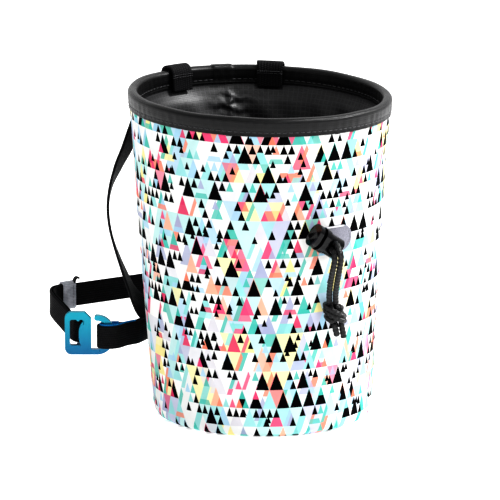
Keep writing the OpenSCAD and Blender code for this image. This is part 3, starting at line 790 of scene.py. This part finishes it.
def make_band():
    """Bound edge: up the outside, over the hoop and down the inside, with folded lower edges."""
    z0, fold = BAND_LOW, 0.35
    round_top = 2.2
    out_leg = side_r(BAG_TOP - round_top) + 0.7
    in_leg = side_r(BAG_TOP - round_top) - 3.4 - 0.8
    profile = [(side_r(z0) + 0.1, z0 + 0.5)]
    profile += arc(side_r(z0) + 0.1 + fold, z0 + fold, fold, 200, 350, 4)
    profile += [(side_r(z) + 0.7, z) for z in np.linspace(z0 + 0.8, BAG_TOP - round_top - 0.3, 10)]
    profile += arc(out_leg - round_top, BAG_TOP - round_top, round_top, 4, 90, 8)
    profile += arc(in_leg + round_top, BAG_TOP - round_top, round_top, 90, 176, 8)
    profile += [(side_r(z) - 4.2, z) for z in np.linspace(BAG_TOP - round_top - 0.3, z0 + 0.8, 10)]
    profile += arc(side_r(z0) - 4.2 + fold, z0 + fold, fold, 190, 340, 4)
    profile += [(side_r(z0) - 3.45, z0 + 0.5)]
    shape = turned(Shape(), profile, 480, band_ripple)
    shape.make("rim_binding", BAND, "bag", "black_nylon", ["rim_band"])
    rows = Shape()
    z = BAND_LOW + 1.8
    for lift, side in ((0.54, 1), (-4.02, -1)):
        line, out = circle(side_r(z) + lift, z, 721, np.pi / 2)
        row_of_stitches(rows, line, side * out, 3.0, length=2.3, radius=0.2)
    rows.make("rim_stitches", THREAD, "bag", "black_nylon")


def skirt_ripple(r, z, t):
    """Gathered cloth: it hangs from the rim in soft folds that tighten towards the cord's hem."""
    down = ease(-z, -152, -112)
    hem = ease(-z, -110, -103)
    folds = ripple(t + 0.012 * (150 - z), 41, (7, 10, 15, 21))
    deep = 2.1 * np.sin(np.pi * np.clip((156 - z) / 52, 0, 1)) * folds
    gathers = 0.5 * hem * ripple(t, 42, (48, 61))
    gap = ((t - GATHER + np.pi) % (2 * np.pi) - np.pi) * 55
    seam = np.exp(-((gap / 1.6) ** 2)) * (1.2 + 0.5 * np.sin(z * 1.9))
    pull = np.exp(-((gap / 8) ** 2)) * 0.55 * np.sin(z * 1.05 + 0.5 * np.sin(gap)) * np.sign(gap)
    free = ease(-z, -154, -147)
    return r - free * (0.9 + deep * (0.4 + 0.6 * down) + seam + pull) * (1 - 0.75 * hem) + gathers * 0.4, z


def make_skirt():
    ring_x, ring_z = HEM_RING_R, EYELET[2]
    line = [(side_r(WALL_TOP) - 3.1, WALL_TOP), (61.2, 154), (60.1, 150), (58.2, 145), (56.6, 136)]
    line += [(55.2, 122), (54.2, 110), (ring_x + 0.2, ring_z + HEM_R)]
    profile = smooth(line, 8)[:, :2].tolist()
    profile += arc(ring_x, ring_z, HEM_R, 80, -270, 20)
    shape = turned(Shape(), profile, 480, skirt_ripple, flip=True)
    piece = shape.make("skirt_cloth", RIPSTOP, "bag", "ripstop", ["closure_skirt"])


def make_hoop():
    """Springy rod inside the binding; it tilts with the soft rim."""
    low, high = box_mm("rim_hoop")
    radius = (high[2] - low[2]) / 2
    line = circle(high[0] - radius, (low[2] + high[2]) / 2, 361)[0]
    shape = round_tube(Shape(), line, radius - 0.15, sides=12)
    shape.make("hoop_rod", ROD, "bag", "hoop_plastic", ["rim_hoop"])


def make_drawcord():
    ring = circle(HEM_RING_R, EYELET[2], 600)[0]
    shape = round_tube(Shape(), ring, CORD_R - 0.1, sides=16, braid=0.08, carriers=4)
    shape.make("drawcord_braid", BRAID, "bag", "braided_cord", ["drawcord_loop"])


def even_outline(points, n):
    p = np.array(points, float)
    s = lengths(p)
    t = np.linspace(0, s[-1], n + 1)[:-1]
    return np.stack([np.interp(t, s, p[:, k]) for k in range(2)], 1)


def make_patch():
    """Stitched patch under the lock, slightly raised inside its row of stitches."""
    right = arc(PATCH_RIGHT - PATCH_HALF, 0, PATCH_HALF, -90, 90, 24)
    left = arc(PATCH_LEFT + PATCH_HALF, 0, PATCH_HALF, 90, 270, 24)
    outline = even_outline(right + left + right[:1], 144)
    steps = [(0.0, 0.45), (0.0, 0.95), (0.02, 1.2), (0.06, 1.28), (0.1, 1.1)]
    steps += [(0.16, 1.16), (0.3, 1.3), (0.6, 1.3), (1.0, 1.28)]  # share of the way in, lift
    angle = np.arctan2(outline[:, 1], outline[:, 0])
    hole = 3.55 * np.stack([np.cos(angle), np.sin(angle)], 1)
    rings = [on_wall(*(outline * (1 - share) + hole * share).T, lift) for share, lift in steps]
    closed = np.vstack([outline, outline[:1]])
    shape = Shape().add(np.array(rings), np.stack([closed] * len(steps)), wrap=True)
    shape.make("patch_cloth", PATCH, "bag", "patch_grey", ["eyelet_patch"], soft=False)
    x = np.linspace(PATCH_LEFT + 5.5, PATCH_RIGHT - 5.5, 60)
    # Folded bead along the patch's top edge; its pale grey is a painted highlight on that edge.
    fold = round_tube(Shape(), on_wall(x, PATCH_HALF - 0.35, 1.15), 0.42, sides=12)
    fold.make("patch_highlight_bead", PATCH_HIGHLIGHT, "bag", "patch_grey", soft=False)
    inner = (closed * (0.93, 0.8)).T
    line = on_wall(*inner, 1.12)
    row = row_of_stitches(Shape(), line, on_wall(*inner, 2.12) - line, 2.1, length=1.6, radius=0.16)
    row.make("patch_stitches", GREY_THREAD, "bag", "patch_grey", soft=False)


LOOP_LINE = [
    (58.9, 153.4), (59.3, 158), (59.6, 162), (60.8, 164.5), (63.0, 165.3), (65.3, 164.9), (66.9, 163.0),
    (67.5, 158), (67.9, 151), (68.0, 143), (68.0, 137), (66.6, 132.6), (64.6, 129.5), (63.6, 125),
]


def make_belt_loop(name, turn, node):
    """Webbing folded over the rim and sewn inside and outside; the belt runs behind it."""
    line = smooth(LOOP_LINE, 6)
    t = unit(np.gradient(line, axis=0))
    normal = np.stack([-t[:, 1], t[:, 0]], 1)
    section = strap_section(LOOP_W, 1.2)
    r = line[:, None, 0] + section[None, :, 1] * normal[:, None, 0]
    z = line[:, None, 1] + section[None, :, 1] * normal[:, None, 1]
    a = turn + section[None, :, 0] / 65.0
    p = np.stack([r * np.cos(a), r * np.sin(a), z], -1)
    closed = np.append(section[:, 0], section[0, 0])
    uv = np.stack(np.broadcast_arrays(closed[None, :], lengths(line)[:, None]), -1)
    Shape().add(*closed_off(p, uv), wrap=True).make(name, LOOP_WEBBING, "bag", "webbing", [node])
    tacks = Shape()
    for index in (10, -5):
        r0, z0 = line[index] + 0.7 * normal[index]
        for row in (-0.55, 0.55):
            b = turn + np.linspace(-LOOP_W / 2 + 1, LOOP_W / 2 - 1, 12) / r0
            flat = np.zeros_like(b)
            outwards = np.stack([np.cos(b), np.sin(b), flat], 1)
            along = np.stack([-np.sin(b), np.cos(b), flat], 1)
            out = normal[index, 0] * outwards + (0, 0, normal[index, 1])
            stitches(tacks, r0 * outwards + (0, 0, z0 + row), along, out, length=1.1, radius=0.16)
    tacks.make(name + "_tacks", THREAD, "bag", "webbing")


# ---------- belt, in the same points as its CAD solids
LEFT_BOW = [
    [-57.6, 32.4, 145, 0, 0, 1], [-60, 28.8, 144.3, -0.14, -0.3, 0.94],
    [-61.8, 25.4, 142, -0.27, -0.58, 0.77], [-63.6, 22.7, 138, -0.36, -0.78, 0.5],
    [-66.8, 20.2, 130, -0.4, -0.9, 0.3], [-71, 17.4, 121.6, -0.3, -1, 0.25],
    [-74.6, 14, 112.6, -0.1, -1, 0.1], [-76.2, 12, 103, 0, -1, 0], [-75.6, 11, 93, 0.05, -1, 0],
    [-73.4, 11, 83, 0.1, -1, -0.1], [-70.2, 12, 73, 0.1, -0.9, -0.3], [-66.8, 13.6, 63.5, 0.1, -0.75, -0.55],
    [-63.6, 16.4, 54.8, 0.1, -0.5, -0.8], [-59.8, 22, 47.4, 0, -0.3, -0.95],
    [-55.2, 31, 42, 0, -0.1, -1], [-47, 42.6, 38.8, 0, 0, -1], [-36, 52.3, 37.6, 0, 0, -1],
    [-26, 57.9, 37.5, 0, 0, -1], [-22.6, 58.3, 37.5, 0, 0, -1], [-22.2, 56, 37.5, 0, 0, -1],
    [-25.4, 53.6, 37.5, 0, 0, -1], [-34, 48.6, 37.5, 0, 0, -1],
]
END_RUN = [[-34, 48.6], [-45, 38.7], [-53.2, 26.5], [-57.4, 16.8], [-60, 11.6]]
END_LOOP = [
    [-61.9, 8.6], [-65.0, 6.3], [-67.6, 3.9], [-69.4, 1.4], [-71.6, -0.8], [-74.4, -2.0], [-77.4, -2.2],
    [-79.8, -1.3], [-81.1, 0.4], [-81.3, 2.4], [-80.4, 4.6], [-78, 6.2], [-74.4, 6.8], [-71, 6.9],
    [-68.6, 7.1], [-66.3, 8.0], [-63.4, 10.4], [-61.6, 12.9], [-60.2, 15.6],
]
RIGHT_DROP = [
    [27.5, 60.1, 145, 0, 0, 1], [31.8, 58.2, 144.3, 0.3, -0.17, 0.94], [35.6, 56.1, 141.8, 0.56, -0.32, 0.77],
    [38.5, 54.2, 137.6, 0.75, -0.43, 0.5], [40, 53.1, 132.5, 0.84, -0.5, 0.2],
    [40.3, 52.9, 125, 0.87, -0.5, 0],
    [40.2, 54.2, 115, 0.88, -0.48, 0], [41, 57, 103, 0.9, -0.44, 0], [42.4, 60.5, 92, 0.94, -0.35, 0],
    [44.2, 64.4, 81, 0.97, -0.24, 0], [45.8, 67.8, 71, 1, -0.1, 0], [46.2, 70, 62.5, 1, 0, 0],
    [44.8, 70.7, 56.8, 0.87, 0, -0.5], [41.2, 70.7, 52.6, 0.5, 0, -0.87], [36.4, 70.6, 51, 0, 0, -1],
]
BUCKLE_STRAP = [
    [-34.6, 63, 51], [-42, 61.6, 51], [-50, 58.3, 51], [-58, 54, 51], [-69, 47.5, 51], [-80, 41, 51],
    [-91, 34.5, 51], [-98, 30.3, 51], [-101, 28.5, 50.9], [-103.2, 26.3, 50.5], [-103.9, 23.3, 49.8],
    [-103.2, 20.3, 48.6], [-101.2, 17.3, 46.6], [-98, 13.9, 43.6], [-94.8, 10.9, 40.8], [-92.2, 9.3, 39.5],
    [-89.8, 8.95, 39.4], [-88.2, 8.3, 39.4], [-87.55, 6.7, 39.4], [-88.2, 5.1, 39.4], [-89.8, 4.45, 39.4],
    [-92.6, 5, 39.5], [-95.2, 7.6, 40.8], [-99.2, 12.4, 44.2], [-102.8, 16.6, 47.2], [-104.9, 19.9, 49.0],
    [-105.7, 23.4, 50.2], [-104.8, 27.1, 50.8], [-101.9, 30, 51], [-98.9, 31.8, 51], [-93.9, 34.8, 51],
]
UP = [0, 0, 1]
REAR_R, REAR_Z = 66.1, 145.0
HANK_HALF, HANK_PITCH, HANK_RUNS = 34.0, 1.9, 5
HANK_Y = box_mm("belt_hank")[0][1] + BELT_T / 2


def rear_run():
    a = np.radians(np.arange(66, 150.1, 3))
    return [[REAR_R * math.cos(x), REAR_R * math.sin(x), REAR_Z, 0, 0, 1] for x in a]


def hank_runs():
    """Folded spare length: runs from the bag outwards, joined by tight folds."""
    line = []
    half = HANK_PITCH / 2
    for i in range(HANK_RUNS):
        y, end = HANK_Y + HANK_PITCH * i, HANK_HALF if i % 2 == 0 else -HANK_HALF
        wander = 0.12 * math.sin(2.1 * i)
        line += [(-end, y), (-end / 3, y + wander), (end / 3, y - wander), (end, y)]
        if i < HANK_RUNS - 1:
            fold = arc(0, y + half, half, -60, 60, 4)
            line += [(math.copysign(HANK_HALF + 0.95 * x, end), turn_y) for x, turn_y in fold]
    return [[x, y, HANK_Z, 0, 0, 1] for x, y in line]


def belt_piece(name, route, node, steps):
    """One run of the belt."""
    shape = strap(Shape(), route, BELT_W, BELT_T, steps)
    piece = shape.make(name, WEBBING, "belt", "webbing", [node], soft=False)


def make_belt():
    belt_piece("belt_rear_cloth", rear_run(), "belt_rear_run", 3)
    belt_piece("belt_bow_cloth", LEFT_BOW, "belt_left_bow", 8)
    belt_piece("belt_drop_cloth", RIGHT_DROP, "belt_right_drop", 8)
    belt_piece("belt_hank_cloth", hank_runs(), "belt_hank", 4)
    belt_piece("buckle_strap_cloth", [[*p, 0, 0, 1] for p in BUCKLE_STRAP], "belt_buckle_strap", 6)


def make_end_loop():
    """Belt's sewn end loop with the run that leads to it."""
    shape = Shape()
    route = [[*p, END_Z, 0, 0, 1] for p in END_RUN + END_LOOP]
    strap(shape, route, BELT_W - 0.2, BELT_T, 8)
    piece = shape.make("end_loop_cloth", WEBBING, None, "webbing", ["belt_end_loop"], soft=False)
    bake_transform(piece)
    row = Shape()
    z = np.linspace(END_Z - 5, END_Z + 5, 30)
    for x, y, out in ((-69.9, 0.35, (-0.72, -0.69, 0)), (-70.2, 7.75, (0.05, 1, 0))):
        line = np.stack([np.full_like(z, x), np.full_like(z, y), z], 1)
        row_of_stitches(row, line, np.tile(out, (len(z), 1)).astype(float), 1.9, length=1.4, radius=0.17)
    row.make("end_loop_stitches", THREAD, "end_loop", "webbing", soft=False)


def make_lining():
    line = np.array(END_LOOP[:14])
    t = unit(np.gradient(line, axis=0))
    inside = line + np.stack([t[:, 1], -t[:, 0]], 1) * 1.0
    route = [[*p, END_Z + 0.35, 0, 0, 1] for p in inside]
    shape = strap(Shape(), route, BELT_W + 0.5, 0.42, 6)
    shape.make("end_loop_lining_cloth", LINING, "end_loop", "lining_blue", ["end_loop_lining"], soft=False)


def make_tie():
    """Elastic tie round the folded belt."""
    low, high = box_mm("belt_hank_tie")
    middle, half = (low + high) / 2, (high - low) / 2 - 0.5
    ring = [(half[1], 0)] + rounded_ring(half[1], half[2], 1.6, 5) + [(half[1], -0.1)]
    route = [[middle[0], middle[1] + y, middle[2] + z, 1, 0, 0] for y, z in ring]
    shape = strap(Shape(), route, high[0] - low[0], 0.9, 3)
    shape.make("tie_cloth", KNIT_BLACK, "belt", "black_nylon", ["belt_hank_tie"], soft=False)


def make_keeper():
    """Elastic sleeve that holds the two layers of the strap, with a hemmed end and a seam tab."""
    axis = at_joint("keeper_slide")
    across = np.array([-axis[1], axis[0], 0.0])
    corner = np.array([-91.0, 34.5, HANK_Z]) - axis * 10.7
    inner, tall = (-0.95, 2.75), BELT_W / 2 + 0.3
    middle, half_y = (inner[0] + inner[1]) / 2, (inner[1] - inner[0]) / 2 + 0.4
    half_z, r = tall + 0.4, 1.5
    ring = np.array(rounded_ring(half_y, half_z, r, 6))
    limits = np.array([half_y - r, half_z - r])
    normal = unit(ring - np.clip(ring, -limits, limits))
    profile = [(0.0, 0.0), (0.2, 0.36), (0.6, 0.5), (1.3, 0.5), (1.6, 0.34), (2.0, 0.4), (3.8, 0.46)]
    profile += [(5.4, 0.42), (5.8, 0.34), (6.1, 0.52), (6.8, 0.52), (7.15, 0.36), (7.3, 0.0)]
    profile += [(7.1, -0.36), (4, -0.38), (0.2, -0.36), (0.0, 0.0)]  # along the strap, lift
    rows = []
    for along, lift in profile:
        section = ring + normal * lift
        out = (middle + section[:, :1]) * across
        rows.append(corner + along * axis + out + section[:, 1:] * np.array(UP))
    s = np.append(lengths(ring), lengths(ring)[-1] + 1)
    uv = np.stack(np.broadcast_arrays(np.array([p[0] for p in profile])[:, None], s[None, :]), -1)
    shape = Shape().add(np.array(rows), uv, wrap=True)
    shape.make("keeper_cloth", KNIT, "keeper", "keeper_grey", ["belt_keeper"], soft=False)
    top = corner + axis * 6.5 + across * (inner[1] - 3.4) + np.array([0, 0, half_z + 0.2])
    bent = ((0, -0.4), (0.3, 0.9), (1.0, 1.9), (2.0, 2.2), (2.6, 1.6))
    tab = [[*(top + axis * x + np.array([0, 0, z])), *across] for x, z in bent]
    strap(Shape(), tab, 2.8, 0.9, 5).make("keeper_tab", KNIT_BLACK, "keeper", "keeper_grey", soft=False)
    seam = Shape()
    z = np.linspace(-tall + 0.6, tall - 0.6, 24)
    for along in (1.5, 5.7):
        base = corner + axis * along - across * (half_y - middle + 0.38)
        line = base[None] + z[:, None] * np.array(UP)
        row_of_stitches(seam, line, np.tile(-across, (len(z), 1)), 1.8, length=1.3, radius=0.15)
    seam.make("keeper_stitches", GREY_THREAD, "keeper", "keeper_grey", soft=False)


def make_spring():
    """Coil spring behind the lock's button."""
    axis = -at_joint("lock_button_press")
    middle = middle_mm("cord_lock_spring")
    long, turns, coil_r, wire_r = 2.0, 2.5, 2.05, 0.2
    across = unit(np.cross(axis, [0, 0, 1.0]))
    third = np.cross(axis, across)
    t = np.linspace(0, 1, 160)
    a = 2 * np.pi * turns * t
    coil = np.outer(np.cos(a), across) + np.outer(np.sin(a), third)
    line = middle + np.outer((t - 0.5) * (long - 2 * wire_r), axis) + coil_r * coil
    shape = round_tube(Shape(), line, wire_r, sides=10)
    node = "cord_lock_spring"
    piece = shape.make("lock_spring_coil", STEEL, "cord_lock", "spring_steel", [node], soft=False)
    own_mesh(piece)


def dress_cad(node, material, bevel_mm):
    """Gives a CAD piece that stays its material, and soft edges."""
    piece = frame["nodes"][node]
    piece.data.materials.clear()
    piece.data.materials.append(material)
    for polygon in piece.data.polygons:
        polygon.use_smooth = True
        polygon.material_index = 0
    edge = piece.modifiers.new("soft_edges", "BEVEL")
    edge.width = bevel_mm * MM
    edge.segments = 3
    edge.limit_method = "ANGLE"
    edge.angle_limit = math.radians(35)
    edge.harden_normals = True


def dress_hardware():
    dress_cad("hook_buckle", ALUMINIUM, 0.85)
    dress_cad("buckle_pin", STEEL, 0.2)
    dress_cad("eyelet", BLACK_METAL, 0.18)
    dress_cad("eyelet_washer", BLACK_METAL, 0.15)
    dress_cad("cord_lock_body", PLASTIC, 0.45)
    dress_cad("cord_lock_button", PLASTIC, 0.5)


make_shell()
make_base()
make_liner()
make_band()
make_skirt()
make_hoop()
make_drawcord()
make_patch()
make_belt_loop("loop_left_cloth", LEFT_LOOP, "belt_loop_left")
make_belt_loop("loop_right_cloth", RIGHT_LOOP, "belt_loop_right")
make_belt()
make_end_loop()
make_lining()
make_tie()
make_keeper()
make_spring()
dress_hardware()


# ---------- floor and light
def make_stage():
    mesh = bpy.data.meshes.new("floor")
    corners = [(12.0 * x, 12.0 * y, 0) for x, y in ((-1, -1), (1, -1), (1, 1), (-1, 1))]
    mesh.from_pydata(corners, [], [(0, 1, 2, 3)])
    floor = bpy.data.objects.new("floor", mesh)
    bpy.context.scene.collection.objects.link(floor)
    paper = Finish("studio_floor", roughness=0.9, specular=0.1)
    paper.colour((0.9, 0.9, 0.9))
    paper.shader.inputs["Emission Color"].default_value = (1.0, 1.0, 1.0, 1.0)
    paper.shader.inputs["Emission Strength"].default_value = 0.45
    mesh.materials.append(paper.material)
    world = bpy.data.worlds.new("studio")
    world.use_nodes = True
    tree = world.node_tree
    parts = tree.nodes.new("ShaderNodeSeparateXYZ")
    tree.links.new(tree.nodes.new("ShaderNodeTexCoord").outputs["Generated"], parts.inputs[0])
    spread = tree.nodes.new("ShaderNodeMapRange")
    limits = {"From Min": -1.0, "From Max": 0.75, "To Min": 0.06, "To Max": 0.8}  # dark behind the camera
    for socket, value in limits.items():
        spread.inputs[socket].default_value = value
    tree.links.new(parts.outputs[1], spread.inputs["Value"])
    tree.links.new(spread.outputs[0], tree.nodes["Background"].inputs[1])
    tree.nodes["Background"].inputs[0].default_value = (1.0, 1.0, 1.0, 1.0)
    bpy.context.scene.world = world


def area_light(name, place, aim, size, power):
    data = bpy.data.lights.new(name, "AREA")
    data.size = size
    data.energy = power
    light = bpy.data.objects.new(name, data)
    light.location = place
    light.rotation_mode = "QUATERNION"
    light.rotation_quaternion = (Vector(aim) - Vector(place)).to_track_quat("-Z", "Y")
    bpy.context.scene.collection.objects.link(light)


make_stage()
area_light("key", (0.9, -1.3, 1.2), (0, 0, 0.08), 0.28, 6.5)
area_light("fill", (-1.4, -1.0, 0.6), (0, 0, 0.08), 0.7, 1.6)
area_light("glint", (-0.25, -1.1, 1.1), (0.03, -0.06, 0.1), 0.08, 1.3)
area_light("rim", (0.75, 0.1, 0.85), (-0.06, 0, 0.15), 0.15, 10.0)
bpy.context.scene.view_settings.view_transform = "Standard"
bpy.context.scene.view_settings.look = "High Contrast"
